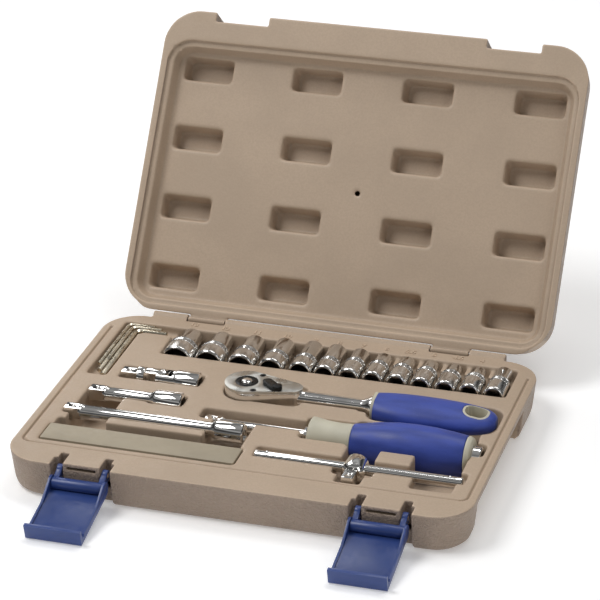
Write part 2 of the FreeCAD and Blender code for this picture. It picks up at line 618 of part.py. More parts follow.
def ratchet_cover_plate():
    z0 = PLATE_TOP - PLATE_T
    plate = head_outline(0, z0, PLATE_TOP)
    cuts = [
        rod(6.4, V(HEAD_X, RAT_Y, z0 - 1), V(HEAD_X, RAT_Y, PLATE_TOP + 1)),
        rod(2.75, V(REVERSER_X, RAT_Y, z0 - 1), V(REVERSER_X, RAT_Y, PLATE_TOP + 1)),
    ]
    for side in (-1, 1):
        spot = V(SCREW_X, RAT_Y + side * SCREW_DY, z0 - 1)
        cuts.append(rod(0.95, spot, spot + V(0, 0, 4)))
        cuts.append(rod(1.75, spot + V(0, 0, 1.6), spot + V(0, 0, 4)))
    return plate.cut(fuse(cuts))


def ratchet_cover_screws():
    screws = []
    for side in (-1, 1):
        foot = V(SCREW_X, RAT_Y + side * SCREW_DY, PLATE_TOP - PLATE_T - 3.2)
        shank = rod(0.85, foot, foot + V(0, 0, 4.2))
        head = rod(1.68, foot + V(0, 0, 3.85), foot + V(0, 0, 4.75))
        slot = prism(6, 1.3, foot + V(0, 0, 4.2), foot + V(0, 0, 6))
        screws.append(fuse([shank, head]).cut(slot))
    return Part.makeCompound(screws)


def ratchet_drive_gear():
    """Toothed wheel with the square drive below and a bored boss above."""
    z0, z1 = HEAD_BOTTOM + 2.2, PLATE_TOP - PLATE_T - 0.2
    points = []
    for i in range(GEAR_TEETH):
        for part, r in ((0.0, GEAR_R - 0.55), (0.5, GEAR_R)):
            a = 2 * math.pi * (i + part) / GEAR_TEETH
            points.append(V(HEAD_X + r * math.cos(a), RAT_Y + r * math.sin(a), z0))
    points.append(points[0])
    wheel = Part.Face(Part.makePolygon(points)).extrude(V(0, 0, z1 - z0))
    boss = rod(6.1, V(HEAD_X, RAT_Y, z1 - 1), V(HEAD_X, RAT_Y, PLATE_TOP - 0.2))
    hub = rod(5.0, V(HEAD_X, RAT_Y, HEAD_BOTTOM - 0.6), V(HEAD_X, RAT_Y, z0 + 1))
    tip = V(HEAD_X, RAT_Y, HEAD_BOTTOM - 9.4)
    tang = square_bar(DRIVE, tip, tip + V(0, 0, 10))
    bore = rod(3.3, V(HEAD_X, RAT_Y, PLATE_TOP - 6.0), V(HEAD_X, RAT_Y, PLATE_TOP + 1))
    seat = ball_seat(V(HEAD_X, RAT_Y - DRIVE / 2 + 0.45, tip.z + 4.4), V(0, -1, 0))
    return fuse([wheel, boss, hub, tang]).cut(fuse([bore, seat]))


def ratchet_release_button():
    base = V(HEAD_X, RAT_Y, PLATE_TOP - 4.0)
    return turned([(0, 3.2), (3.6, 3.2), (4.6, 2.9), (5.0, 2.2)], base, V(0, 0, 1))


def ratchet_pawl():
    """Block behind the wheel, hollowed to its rim."""
    z0, z1 = HEAD_BOTTOM + 2.3, PLATE_TOP - PLATE_T - 0.3
    block = box(HEAD_X + 5.2, REVERSER_X - 3.4, RAT_Y - 2.9, RAT_Y + 2.9, z0, z1)
    relief = rod(GEAR_R + 0.12, V(HEAD_X, RAT_Y, z0 - 1), V(HEAD_X, RAT_Y, z1 + 1))
    return block.cut(relief)


def ratchet_pawl_spring():
    """Short coil between the reversing lever's shank and the pawl."""
    x0, x1 = REVERSER_X - 2.75, REVERSER_X - 0.5
    coil = rod(0.85, V(x0, RAT_Y, RAT_Z), V(x1, RAT_Y, RAT_Z))
    return coil.cut(rod(0.5, V(x0 - 1, RAT_Y, RAT_Z), V(x1 + 1, RAT_Y, RAT_Z)))


def ratchet_reversing_lever():
    """Thumb lever thrown to one side, on a shank that reaches into the head."""
    z0 = PLATE_TOP + 0.25
    shank = rod(2.6, V(REVERSER_X, RAT_Y, HEAD_BOTTOM + 2.3), V(REVERSER_X, RAT_Y, z0 + 0.5))
    thumb = rbox(REVERSER_X - 3.6, REVERSER_X + 11.0, RAT_Y - 2.7, RAT_Y + 2.7, z0, z0 + 1.5, 2.6)
    tip = rbox(REVERSER_X + 6.0, REVERSER_X + 11.0, RAT_Y - 2.7, RAT_Y + 2.7, z0, z0 + 2.6, 2.4)
    body = fuse([shank, thumb, tip])
    body.rotate(V(REVERSER_X, RAT_Y, 0), V(0, 0, 1), -REVERSER_THROW)
    hole = rod(1.0, V(REVERSER_X - 4, RAT_Y, RAT_Z), V(REVERSER_X - 0.3, RAT_Y, RAT_Z))
    return body.cut(hole)


HANG_X = 105.8


def grip_section(x, half_w, half_h):
    ellipse = Part.Ellipse(V(x, RAT_Y, RAT_Z), half_w, half_h)
    wire = Part.Wire([ellipse.toShape()])
    wire.rotate(V(x, RAT_Y, RAT_Z), V(0, 1, 0), 90)
    wire.rotate(V(x, RAT_Y, RAT_Z), V(1, 0, 0), 90)
    return wire


# x, half width, half height of the ratchet's grip
RATCHET_GRIP = [(50.2, 10.6, 7.6), (60.0, 12.8, 8.0), (76.0, 13.6, 8.1), (92.0, 13.2, 7.6),
                (106.0, 11.6, 6.4), (113.0, 8.6, 5.2), (117.0, 3.6, 3.0)]


def handle_body(inset, x0, x1):
    wires = []
    for x, half_w, half_h in RATCHET_GRIP:
        wires.append(grip_section(x, half_w - inset, half_h - inset))
    body = Part.makeLoft(wires, True, False)
    return body.common(box(x0, x1, -40, 60, 0, 60))


def hang_hole(grow):
    """D-shaped hole through the end of the grip."""
    r = 5.4 + grow
    return rbox(HANG_X - r - 0.6, HANG_X + r + 0.6, RAT_Y - r, RAT_Y + r, 0, 60, 4.4 + grow)


def ratchet_handle_core():
    """Pale inner moulding: collar, core and the hang hole's liner."""
    collar = turned([(0, 8.2), (0.4, 8.6), (1.8, 8.6)], V(48.45, RAT_Y, RAT_Z), V(1, 0, 0))
    flat = box(40, 60, 0, 40, RAT_Z - 7.3, RAT_Z + 7.3)
    core = handle_body(2.4, 50.0, 110.0)
    liner = hang_hole(1.3).common(handle_body(0.25, 90, 120))
    body = fuse([collar.common(flat), core, liner]).cut(hang_hole(0))
    tang = turned([(-40, 3.72), (42, 3.72), (76.4, 3.25)], V(4, RAT_Y, RAT_Z), V(1, 0, 0))
    return body.cut(tang)


def ratchet_grip():
    outer = handle_body(0, 50.3, 120)
    return outer.cut(handle_body(2.35, 50.0, 110.05)).cut(hang_hole(1.35))


# ---------------------------------------------------------------- spinner handle
SPIN_X0, SPIN_X1 = -36.6, 117.0
# distance from x = 46, radius of the spinner's grip
SPIN_GRIP = [(46.2, 9.6), (52.0, 10.6), (60.0, 12.2), (70.0, 13.3), (80.0, 13.6), (90.0, 13.3),
             (100.0, 12.3), (108.6, 11.2)]


def spin_solid(profile):
    return turned(profile, V(0, SPIN_Y, SPIN_Z), V(1, 0, 0))


def spinner_shaft():
    start = V(SPIN_X0, SPIN_Y, SPIN_Z)
    tang = square_bar(DRIVE, start, start + V(9.0, 0, 0))
    shaft = spin_solid([(SPIN_X0 + 8.0, 3.4), (SPIN_X0 + 9.6, 4.0), (SPIN_X0 + 11.0, 3.0), (64.0, 3.0)])
    ferrule = spin_solid([(19.4, 4.4), (20.0, 4.8), (22.2, 4.8)])
    seat = ball_seat(start + V(4.6, 0, DRIVE / 2 - 0.45), V(0, 0, 1))
    return fuse([tang, shaft, ferrule]).cut(seat)


def spinner_handle_core():
    neck = spin_solid([(22.3, 9.0), (23.2, 10.4), (25.0, 10.4), (31.0, 9.4), (38.0, 9.0), (46.0, 9.2)])
    inner = spin_solid([(45.0, 7.2)] + [(x, r - 2.4) for x, r in SPIN_GRIP[1:]] + [(109.2, 8.8)])
    ring = spin_solid([(108.8, 11.1), (109.6, 11.1), (111.4, 10.2), (112.0, 9.2)])
    body = fuse([neck, inner, ring])
    shaft_bore = spin_solid([(10, 3.02), (64.2, 3.02)])
    butt_bore = spin_solid([(100.0, 6.22), (113.0, 6.22)])
    return body.cut(fuse([shaft_bore, butt_bore]))


def spinner_grip():
    outer = spin_solid(SPIN_GRIP)
    lining = [(x, r - 2.35) for x, r in SPIN_GRIP[1:]]
    inner = spin_solid([(44.0, 7.25), (45.0, 7.25)] + lining + [(110.0, 8.85)])
    return outer.cut(inner)


def spinner_butt_drive():
    body = spin_solid([(101.0, 6.15), (116.4, 6.15), (117.0, 5.5)])
    end = V(SPIN_X1, SPIN_Y, SPIN_Z)
    return body.cut(square_bar(DRIVE + FIT, end - V(10, 0, 0), end + V(1, 0, 0)))


# ---------------------------------------------------------------- hex keys and bits
# across flats, x of the long arm, y of the short arm, end of each arm
HEX_KEYS = [
    (3.0, -106.8, 71.2, 14.8, -88.6),
    (2.5, -110.4, 74.8, 19.4, -93.0),
    (2.0, -113.4, 77.75, 27.2, -97.8),
]
HEX_KEY_Z = RIM - 1.2


def hex_key(item):
    flats, x, y, y_end, x_end = item
    bend = flats * 1.5
    z = HEX_KEY_Z
    long_arm = prism(6, flats, V(x, y_end, z), V(x, y - bend, z), 30)
    short_arm = prism(6, flats, V(x + bend, y, z), V(x_end, y, z), 30)
    elbow_face = prism(6, flats, V(x, y - bend, z), V(x, y - bend + 0.1, z), 30).Faces
    start = [f for f in elbow_face if abs(f.normalAt(0, 0).y) > 0.9 and f.Area > flats][0]
    elbow = start.revolve(V(x + bend, y - bend, z), V(0, 0, -1), 90)
    return fuse([long_arm, elbow, short_arm])


BIT_FRONT, BIT_L = -63.6, 25.0
BIT_Z = RIM - 7.2
BIT_PITCH = 10.4
BIT_X0 = -106.3
HOLDER = (-113.6, -5.4, -63.0, -46.4, 8.8, RIM - 0.1)


def bit_positions():
    return [BIT_X0 + BIT_PITCH * i for i in range(10)]


def bit_holder():
    x0, x1, y0, y1, z0, z1 = HOLDER
    body = rbox(x0, x1, y0, y1, z0, z1, 0.8)
    holes = []
    for x in bit_positions():
        holes.append(prism(6, DRIVE + 0.14, V(x, y0 - 1, BIT_Z), V(x, y1 + 1, BIT_Z)))
    relief = box(x0 + 2, x1 - 2, y1 - 5.0, y1 + 1, BIT_Z - 1.5, BIT_Z + 1.5)
    return body.cut(fuse(holes + [relief]))


def driver_bit(x, kind):
    """Quarter-inch hex bit; kind sets the tip."""
    start = V(x, BIT_FRONT, BIT_Z)
    shank_l = 17.0
    shank = prism(6, DRIVE, start, start + V(0, shank_l, 0))
    neck_end = BIT_L - 2.5
    neck = turned([(shank_l - 1, 3.0), (shank_l + 1.5, 2.3), (neck_end, 2.3)], start, V(0, 1, 0))
    tip0, tip1 = start + V(0, neck_end - 0.5, 0), start + V(0, BIT_L, 0)
    if kind == "slotted":
        tip = box(x - 2.4, x + 2.4, tip0.y - 2.0, tip1.y, BIT_Z - 0.45, BIT_Z + 0.45)
    elif kind == "phillips":
        tip = turned([(0, 2.2), (BIT_L - neck_end + 0.5, 0.6)], tip0, V(0, 1, 0))
        for turn in (0, 90):
            groove = box(x + 0.5, x + 3, tip0.y, tip1.y + 1, BIT_Z + 0.5, BIT_Z + 3)
            for flip in (0, 180):
                cut = groove.copy()
                cut.rotate(V(x, 0, BIT_Z), V(0, 1, 0), turn + flip)
                tip = tip.cut(cut)
    else:
        tip = prism(6, 3.4, tip0, tip1)
    return fuse([shank, neck, tip])


# ---------------------------------------------------------------- build
def build():
    save("base_shell", base_shell())
    save("lid_shell", turn_x(lid_shut(), HINGE_Y, HINGE_Z, -LID_OPEN))
    save("hinge_pin", hinge_pin())
    for side, word in ((-1, "left"), (1, "right")):
        save("latch_link_" + word, latch_link(side * LATCH_X))
        save("latch_lever_" + word, latch_lever(side * LATCH_X))
    for item in SOCKETS:
        save("socket_" + ("%g" % item[0]).replace(".", "_"), socket_wrench(item))
    save("bit_adapter", bit_adapter())
    save("bit_adapter_ball", bit_adapter_ball())
    for word, x, length, y in (("50", -106.6, 53.6, EXT50_Y), ("100", -112.2, 102.0, EXT100_Y)):
        save("extension_" + word, extension(x, length, y))
        save("extension_%s_ball" % word, detent_ball(x + 4.6, y, EXT_Z + DRIVE / 2 - 0.45))
    save("uj_socket_fork", uj_socket_fork())
    save("uj_drive_fork", uj_drive_fork())
    save("uj_cross_block", uj_cross_block())
    save("uj_ball", detent_ball(UJ_LEFT + 4.6, UJ_Y, UJ_Z + DRIVE / 2 - 0.45))
    save("tbar_rod", tbar_rod())
    save("tbar_rod_balls", tbar_rod_balls())
    save("tbar_sliding_head", tbar_sliding_head())
    save("tbar_head_ball", detent_ball(TBAR_HEAD_X, TBAR_Y - 11.6, TBAR_Z + DRIVE / 2 - 0.45))
    save("ratchet_head", ratchet_head())
    save("ratchet_cover_plate", ratchet_cover_plate())
    save("ratchet_cover_screws", ratchet_cover_screws())
    save("ratchet_drive_gear", ratchet_drive_gear())
    save("ratchet_drive_ball", detent_ball(HEAD_X, RAT_Y - DRIVE / 2 + 0.45, HEAD_BOTTOM - 5.0))
    save("ratchet_release_button", ratchet_release_button())
    save("ratchet_pawl", ratchet_pawl())
    save("ratchet_pawl_spring", ratchet_pawl_spring())
    save("ratchet_reversing_lever", ratchet_reversing_lever())
    save("ratchet_handle_core", ratchet_handle_core())
    save("ratchet_grip", ratchet_grip())
    save("spinner_shaft", spinner_shaft())
    save("spinner_shaft_ball", detent_ball(SPIN_X0 + 4.6, SPIN_Y, SPIN_Z + DRIVE / 2 - 0.45))
    save("spinner_handle_core", spinner_handle_core())
    save("spinner_grip", spinner_grip())
    save("spinner_butt_drive", spinner_butt_drive())
    for item in HEX_KEYS:
        save("hex_key_" + ("%g" % item[0]).replace(".", "_"), hex_key(item))
    save("bit_holder", bit_holder())
    xs = bit_positions()
    for kind, chosen in (("slotted", xs[0:3]), ("phillips", xs[3:7]), ("hex", xs[7:10])):
        save("driver_bits_" + kind, Part.makeCompound([driver_bit(x, kind) for x in chosen]))


build()
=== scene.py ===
"""Looks of the quarter-inch socket set in its case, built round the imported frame."""
import json
import math

import bmesh
import bpy
from mathutils import Matrix, Vector


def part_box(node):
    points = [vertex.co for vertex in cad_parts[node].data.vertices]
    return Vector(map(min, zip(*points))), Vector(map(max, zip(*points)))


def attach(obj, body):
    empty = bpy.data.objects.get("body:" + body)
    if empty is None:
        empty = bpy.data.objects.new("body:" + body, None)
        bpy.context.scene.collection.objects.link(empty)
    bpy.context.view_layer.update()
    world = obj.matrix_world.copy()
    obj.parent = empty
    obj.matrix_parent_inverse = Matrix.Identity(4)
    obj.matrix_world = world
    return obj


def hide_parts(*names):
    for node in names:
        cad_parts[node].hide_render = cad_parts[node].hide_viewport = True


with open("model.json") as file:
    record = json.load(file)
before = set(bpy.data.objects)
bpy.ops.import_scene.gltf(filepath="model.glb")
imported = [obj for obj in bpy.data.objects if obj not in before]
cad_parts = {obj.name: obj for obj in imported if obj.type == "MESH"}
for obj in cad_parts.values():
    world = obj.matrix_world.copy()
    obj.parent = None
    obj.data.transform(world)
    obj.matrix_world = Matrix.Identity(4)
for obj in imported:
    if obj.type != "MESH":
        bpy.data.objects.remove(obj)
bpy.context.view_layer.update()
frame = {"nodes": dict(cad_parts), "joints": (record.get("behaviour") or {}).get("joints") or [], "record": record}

MM = 0.001
BODIES = frame["record"]["behaviour"]["bodies"]
NODE_BODY = {node: body for body, nodes in BODIES.items() for node in nodes}
JOINTS = {joint["name"]: joint for joint in frame["joints"]}
SLOTS = {part["node"]: part["material_slot"] for part in frame["record"]["subparts"]}


# ---------------------------------------------------------------- camera
def add_camera():
    """Long lens high in front of the open case, a little to its right."""
    forward = Vector((-0.26108, 0.85948, -0.43947))
    right = Vector((0.95819, 0.28596, -0.00997))
    up = right.cross(forward)
    turn = Matrix((right, up, -forward)).transposed().to_4x4()
    data = bpy.data.cameras.new("camera")
    data.lens = 178.52
    data.sensor_width = 36.0
    data.shift_x, data.shift_y = -0.0303, -0.0067
    data.clip_start, data.clip_end = 0.05, 40.0
    camera = bpy.data.objects.new("camera", data)
    camera.matrix_world = Matrix.Translation(Vector((433.83, -1351.63, 785.11)) * MM) @ turn
    bpy.context.scene.collection.objects.link(camera)
    bpy.context.scene.camera = camera


# ---------------------------------------------------------------- material helpers
class Finish:
    """A Principled material and short calls for the nodes that feed it."""

    def __init__(self, name, color, metallic=0.0, roughness=0.5, **sockets):
        self.material = bpy.data.materials.new(name)
        self.material.use_nodes = True
        self.tree = self.material.node_tree
        self.shader = self.tree.nodes["Principled BSDF"]
        self.shader.inputs["Base Color"].default_value = (*color, 1.0)
        self.shader.inputs["Metallic"].default_value = metallic
        self.shader.inputs["Roughness"].default_value = roughness
        for socket, value in sockets.items():
            self.shader.inputs[socket.replace("_", " ")].default_value = value
        self.place = self.node("ShaderNodeTexCoord").outputs["Object"]

    def node(self, kind, **values):
        made = self.tree.nodes.new(kind)
        for key, value in values.items():
            setattr(made, key, value)
        return made

    def join(self, source, target):
        self.tree.links.new(source, target)

    def noise(self, scale, detail=3.0, stretch=None, distortion=0.0):
        """Noise of about one blob per 1/scale metres, from 0 to 1."""
        made = self.node("ShaderNodeTexNoise")
        made.inputs["Scale"].default_value = scale
        made.inputs["Detail"].default_value = detail
        made.inputs["Distortion"].default_value = distortion
        place = self.place
        if stretch:
            mapping = self.node("ShaderNodeMapping")
            mapping.inputs["Scale"].default_value = stretch
            self.join(place, mapping.inputs["Vector"])
            place = mapping.outputs["Vector"]
        self.join(place, made.inputs["Vector"])
        return made.outputs["Fac"]

    def span(self, source, low, high, out_low, out_high):
        """Maps low..high of a value to out_low..out_high."""
        made = self.node("ShaderNodeMapRange", interpolation_type="SMOOTHSTEP")
        limits = {"From Min": low, "From Max": high, "To Min": out_low, "To Max": out_high}
        for socket, value in limits.items():
            made.inputs[socket].default_value = value
        self.join(source, made.inputs["Value"])
        return made.outputs["Result"]

    def blend(self, factor, color_a, color_b):
        """Mixes two colours, each a triple or a socket."""
        made = self.node("ShaderNodeMix", data_type="RGBA")
        self.join(factor, made.inputs[0])
        for index, color in ((6, color_a), (7, color_b)):
            if isinstance(color, tuple):
                made.inputs[index].default_value = (*color, 1.0)
            else:
                self.join(color, made.inputs[index])
        return made.outputs[2]

    def edges(self, low, high):
        """1 on convex edges, 0 on flats, from the mesh's own curvature."""
        geometry = self.node("ShaderNodeNewGeometry")
        return self.span(geometry.outputs["Pointiness"], low, high, 0.0, 1.0)

    def creases(self, low, high):
        """1 in concave corners, 0 on flats, from the mesh's own curvature."""
        geometry = self.node("ShaderNodeNewGeometry")
        return self.span(geometry.outputs["Pointiness"], low, high, 1.0, 0.0)

    def color(self, source):
        self.join(source, self.shader.inputs["Base Color"])
        return self

    def rough(self, source, low, high):
        self.join(self.span(source, 0.3, 0.7, low, high), self.shader.inputs["Roughness"])
        return self

    def bump(self, *layers):
        """Stacks (height source, depth in metres) layers into the normal."""
        normal = None
        for source, depth in layers:
            made = self.node("ShaderNodeBump")
            made.inputs["Strength"].default_value = 1.0
            made.inputs["Distance"].default_value = depth
            self.join(source, made.inputs["Height"])
            if normal:
                self.join(normal, made.inputs["Normal"])
            normal = made.outputs["Normal"]
        self.join(normal, self.shader.inputs["Normal"])
        return self


def shade(color, factor):
    return tuple(channel * factor for channel in color)


# ---------------------------------------------------------------- materials
BEIGE = (0.475, 0.365, 0.268)
# Painted shade: the case beige darkened and greyed for the walls and outer faces, standing for their dimmer light
# and the pebbles' micro-shadow.
SHADED_WALL_BEIGE = (0.385, 0.297, 0.232)
LATCH_BLUE = (0.026, 0.054, 0.200)
GRIP_BLUE = (0.036, 0.066, 0.330)
CREAM = (0.56, 0.53, 0.42)
HOLDER_GREY = (0.365, 0.312, 0.228)


def case_plastic(name, color, grain):
    """Blow-moulded polyethylene; grain is the depth of its pebbled texture."""
    finish = Finish(name, color, roughness=0.5, Specular_IOR_Level=0.38)
    clouds = finish.noise(22.0, 4.0)
    fine = finish.noise(900.0, 2.0)
    tint = finish.blend(finish.span(clouds, 0.3, 0.7, 0.0, 1.0), shade(color, 0.95), shade(color, 1.05))
    tint = finish.blend(finish.span(fine, 0.35, 0.65, 0.0, 0.35), tint, shade(color, 0.86))
    # Convex edges paler: partly wear, partly a painted highlight on the rounded edges.
    edge_wear_and_highlight = finish.edges(0.505, 0.56)
    tint = finish.blend(edge_wear_and_highlight, tint, shade(color, 1.22))
    # Painted shade: concave corners and creases darkened to about a third of the colour, where shade falls.
    tint = finish.blend(finish.creases(0.42, 0.49), tint, shade(color, 0.34))
    finish.color(tint)
    finish.rough(finish.noise(160.0, 3.0), 0.42, 0.56)
    pebbles = finish.span(finish.noise(760.0, 1.5, distortion=0.5), 0.36, 0.64, 0.0, 1.0)
    finish.bump((finish.noise(60.0, 3.0), 0.00030), (pebbles, grain), (fine, 0.00004))
    return finish.material


def moulded_plastic(name, color, roughness, grain=0.00002, spread=0.07):
    """Injection-moulded plastic with faint flow tone, spark grain and paler edges, part wear and part painted
    highlight.
    """
    finish = Finish(name, color, roughness=roughness, Specular_IOR_Level=0.5)
    tone = finish.span(finish.noise(55.0, 4.0), 0.3, 0.7, 0.0, 1.0)
    tint = finish.blend(tone, shade(color, 1.0 - spread), shade(color, 1.0 + spread))
    # Convex edges paler: partly wear, partly a painted highlight.
    tint = finish.blend(finish.edges(0.52, 0.62), tint, shade(color, 1.35))
    finish.color(tint)
    finish.rough(finish.noise(300.0, 3.0), roughness - 0.06, roughness + 0.06)
    finish.bump((finish.noise(2600.0, 2.0), grain))
    return finish.material


def soft_grip(name, color):
    """Over-moulded elastomer: satin, faintly dusty, with a fine grain."""
    finish = Finish(name, color, roughness=0.46, Specular_IOR_Level=0.42)
    finish.shader.inputs["Sheen Weight"].default_value = 0.12
    finish.shader.inputs["Sheen Roughness"].default_value = 0.4
    streaks = finish.noise(190.0, 5.0, stretch=(0.25, 1.0, 1.0))
    streaked = finish.span(streaks, 0.35, 0.65, 0.0, 1.0)
    tint = finish.blend(streaked, shade(color, 0.86), shade(color, 1.16))
    dust = finish.span(finish.noise(1500.0, 2.0), 0.6, 0.75, 0.0, 0.3)
    finish.color(finish.blend(dust, tint, (0.10, 0.14, 0.42)))
    finish.rough(streaks, 0.38, 0.54)
    finish.bump((finish.noise(1900.0, 2.0), 0.00003), (streaks, 0.00006))
    return finish.material


def plated(name, color, roughness, ripple=0.00002, brushed=None):
    """Plated steel with slight ripples and smears."""
    finish = Finish(name, color, metallic=1.0, roughness=roughness)
    smears = finish.noise(140.0, 4.0, stretch=brushed)
    tint = finish.blend(finish.span(smears, 0.3, 0.7, 0.0, 1.0), shade(color, 0.93), shade(color, 1.03))
    finish.color(tint)
    finish.rough(smears, roughness * 0.7, roughness * 1.5)
    finish.bump((finish.noise(230.0, 2.0), ripple), (smears, ripple * 0.4))
    return finish.material


def make_materials():
    return {
        "case_shell": case_plastic("case_smooth", BEIGE, 0.000012),
        # Pebbled walls take the darkened beige, a painted shade.
        "case_grain": case_plastic("case_pebbled_shaded", SHADED_WALL_BEIGE, 0.00034),
        "hinge_steel": plated("hinge_wire", (0.50, 0.50, 0.50), 0.3),
        "latch_plastic": moulded_plastic("latch_blue", LATCH_BLUE, 0.34),
        "holder_plastic": moulded_plastic("holder_olive", HOLDER_GREY, 0.55),
        "bit_steel": plated("bit_satin", (0.40, 0.40, 0.41), 0.32),
        "key_steel": plated("key_nickel", (0.66, 0.60, 0.48), 0.26),
        "socket_chrome": plated("socket_chrome", (0.72, 0.71, 0.69), 0.17, 0.00003),
        "bar_chrome": plated("bar_chrome", (0.83, 0.82, 0.80), 0.06),
        "ball_steel": plated("ball_steel", (0.75, 0.74, 0.72), 0.12),
        "satin_plate": plated("satin_plate", (0.60, 0.60, 0.57), 0.34, 0.00003, (1.0, 0.06, 1.0)),
        "black_steel": plated("black_oxide", (0.032, 0.034, 0.036), 0.3),
        "core_plastic": moulded_plastic("core_cream", CREAM, 0.48),
        "grip_plastic": soft_grip("grip_blue", GRIP_BLUE),
        # Painted shade: the bore steel is darkened far below plain steel, standing for the shade inside the deep
        # bores.
        "bore_steel": plated("bore_steel", (0.20, 0.19, 0.18), 0.35),
    }


# ---------------------------------------------------------------- mesh helpers
BEVEL_ANGLE = 32.0              # an edge sharper than this, in degrees, is broken
BEVEL_SHADE_ANGLE = 38.0        # and one sharper than this still shades as an edge


def finish_mesh(mesh, angle=40.0):
    """Smooth shading with sharp edges past the angle."""
    for polygon in mesh.polygons:
        polygon.use_smooth = True
    mesh.set_sharp_from_angle(angle=math.radians(angle))


def add_piece(name, mesh, node, materials):
    """Links a mesh that stands for one CAD node and rides where it does."""
    piece = bpy.data.objects.new(name, mesh)
    bpy.context.scene.collection.objects.link(piece)
    mesh.materials.clear()
    for material in materials:
        mesh.materials.append(material)
    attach(piece, NODE_BODY[node])
    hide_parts(node)
    return piece


def applied(piece):
    """The piece's mesh with its modifiers applied; the piece itself goes."""
    graph = bpy.context.evaluated_depsgraph_get()
    mesh = bpy.data.meshes.new_from_object(piece.evaluated_get(graph))
    bpy.data.objects.remove(piece)
    return mesh


def welded(node):
    """A clean copy of a CAD node's mesh: doubles merged, flat faces joined."""
    made = bmesh.new()
    made.from_mesh(frame["nodes"][node].data)
    bmesh.ops.remove_doubles(made, verts=made.verts, dist=2e-6)
    bmesh.ops.dissolve_limit(made, angle_limit=math.radians(0.5), verts=made.verts, edges=made.edges)
    mesh = bpy.data.meshes.new(node)
    made.to_mesh(mesh)
    made.free()
    return mesh


def refine(node, bevel, materials):
    """A CAD node with broken edges and smooth faces, as a piece of its own."""
    mesh = welded(node)
    for attribute in [a.name for a in mesh.attributes if a.name == "custom_normal"]:
        mesh.attributes.remove(mesh.attributes[attribute])
    holder = bpy.data.objects.new(node + "_work", mesh)
    bpy.context.scene.collection.objects.link(holder)
    rounding = holder.modifiers.new("bevel", "BEVEL")
    rounding.width = bevel * MM
    rounding.segments = 2
    rounding.limit_method = "ANGLE"
    rounding.angle_limit = math.radians(BEVEL_ANGLE)
    rounding.use_clamp_overlap = True
    mesh = applied(holder)
    finish_mesh(mesh, BEVEL_SHADE_ANGLE)
    return add_piece(node + "_piece", mesh, node, materials)


# ---------------------------------------------------------------- case shells
RIM = 22.5 * MM
HINGE = Vector(JOINTS["lid_hinge"]["pos_m"])
LID_SWING = math.radians(-JOINTS["lid_hinge"]["range_deg"][0])
TO_SHUT = Matrix.Translation(HINGE) @ Matrix.Rotation(LID_SWING, 4, "X") @ Matrix.Translation(-HINGE)
GROOVE_X, GROOVE_Y, GROOVE_R = 122.0 * MM, -68.5 * MM, 5.0 * MM
GROOVE_HALF, GROOVE_DEEP = 0.95 * MM, 1.3 * MM
RIM_FILL, RIM_FILL_UP = 1.25 * MM, 7.0 * MM
VOXEL, QUICK_VOXEL = 0.55 * MM, 0.9 * MM
BLOW_HOLES = ((-40.0, 38.0), (40.0, 38.0))
MARK_Y, MARK_SIZE, MARK_HIGH = 84.6 * MM, 5.2 * MM, 0.3 * MM


def modified(mesh, *stack):
    """The mesh after a stack of (modifier kind, settings), with its groups dropped."""
    holder = bpy.data.objects.new("work", mesh)
    bpy.context.scene.collection.objects.link(holder)
    for kind, settings in stack:
        if kind == "GROUP":
            group = holder.vertex_groups.new(name="soft")
            for index, weight in enumerate(settings):
                group.add([index], weight, "REPLACE")
            continue
        modifier = holder.modifiers.new(kind.lower(), kind)
        for key, value in settings.items():
            setattr(modifier, key, value)
    return applied(holder)


def outer_skin(mesh):
    """Drops every island but the largest, which is the shell's outside."""
    made = bmesh.new()
    made.from_mesh(mesh)
    left = set(made.verts)
    best = set()
    while left:
        island = {left.pop()}
        queue = list(island)
        while queue:
            for edge in queue.pop().link_edges:
                for vertex in edge.verts:
                    if vertex not in island:
                        island.add(vertex)
                        queue.append(vertex)
        left -= island
        if len(island) > len(best):
            best = island
    bmesh.ops.delete(made, geom=[v for v in made.verts if v not in best], context="VERTS")
    made.to_mesh(mesh)
    made.free()
    return mesh


def softness(point):
    """How much a point of a shell rounds off: full in the tray, little at the rim."""
    off_groove = min(abs(abs(point.x) - GROOVE_X), abs(point.y - GROOVE_Y))
    if abs(point.x) > GROOVE_X - 1.2 * MM or point.y < GROOVE_Y + 1.2 * MM:
        return 0.14 if off_groove > 1.8 * MM else 0.03
    return 0.95 if point.y < 80.0 * MM else 0.12


def press_groove(mesh):
    """Shallow groove round three sides of the tray, which the smoothing blurs."""
    for vertex in mesh.vertices:
        point = vertex.co
        if abs(point.z - RIM) > 2.0 * MM or point.y > 72.0 * MM:
            continue
        along_x, along_y = abs(point.x) - GROOVE_X, GROOVE_Y - point.y
        corner_x, corner_y = along_x + GROOVE_R, along_y + GROOVE_R
        if corner_x > 0 and corner_y > 0:
            off = math.hypot(corner_x, corner_y) - GROOVE_R
        else:
            off = max(along_x, along_y)
        if abs(off) < GROOVE_HALF:
            point.z = min(point.z, RIM - GROOVE_DEEP * min(1.0, 1.7 * (1.0 - abs(off) / GROOVE_HALF)))
        elif abs(off) < GROOVE_HALF + 0.5 * MM and point.z > RIM - 1.6 * MM:
            point.z = max(point.z, RIM - 0.1 * MM)


def fill_rear_rim(mesh):
    """Fuller rear rim on the shut lid, so that it closes down onto the hinge band."""
    for vertex in mesh.vertices:
        point = vertex.co
        if abs(point.x) > 119.0 * MM or point.z > RIM + RIM_FILL_UP:
            continue
        rise = min(1.0, max(0.0, (point.y - 86.0 * MM) / (2.0 * MM)))
        fade = min(1.0, max(0.0, (92.5 * MM - point.y) / (2.5 * MM)))
        drop = 1.0 - max(0.0, point.z - RIM) / RIM_FILL_UP
        point.y += RIM_FILL * rise * fade * drop


